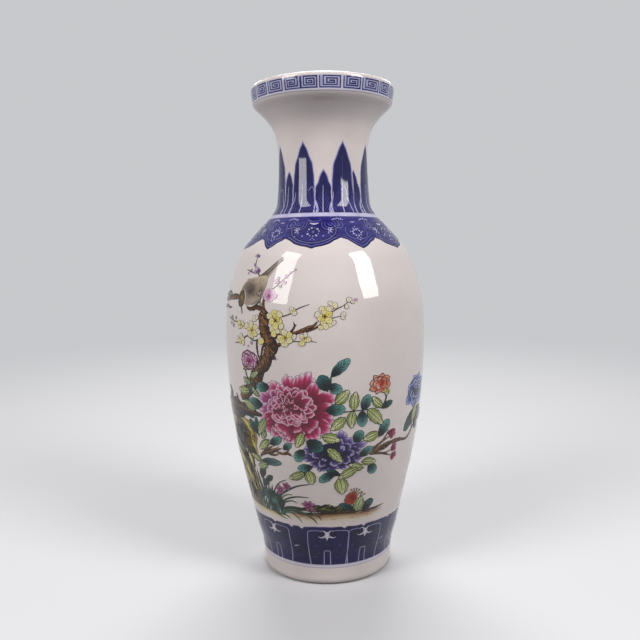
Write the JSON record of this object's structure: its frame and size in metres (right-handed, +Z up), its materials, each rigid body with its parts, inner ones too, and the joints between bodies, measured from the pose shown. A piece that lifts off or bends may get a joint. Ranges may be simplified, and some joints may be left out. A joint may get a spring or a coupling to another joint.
{
  "type": "baluster vase",
  "caption": "Tall dish-mouth baluster vase of glossy white porcelain with a waisted neck, swelling body and foot ring, blue ornamental bands and an enamelled bird-and-flower scene.",
  "frame": {"origin": "centre of the foot ring's bearing face, on the vase's axis", "axes": "+Z up along the vase's axis; -Y faces the viewer of the painted scene"},
  "size_m": [0.1256, 0.1256, 0.3],
  "materials": {
    "porcelain_body": "matte biscuit",
    "luting_slip": "matte biscuit",
    "outer_glaze": "glossy",
    "inner_glaze": "glossy",
    "underglaze_blue": "glossy",
    "overglaze_enamel": "glossy"
  },
  "bodies": {
    "root": {"foot_section": "porcelain_body", "lower_body": "porcelain_body", "upper_body": "porcelain_body", "neck": "porcelain_body", "dish_mouth": "porcelain_body", "foot_slip_seam": "luting_slip", "belly_slip_seam": "luting_slip", "neck_slip_seam": "luting_slip", "mouth_slip_seam": "luting_slip", "outer_glaze": "outer_glaze", "inner_glaze": "inner_glaze", "base_glaze": "inner_glaze"}
  },
  "joints": []
}
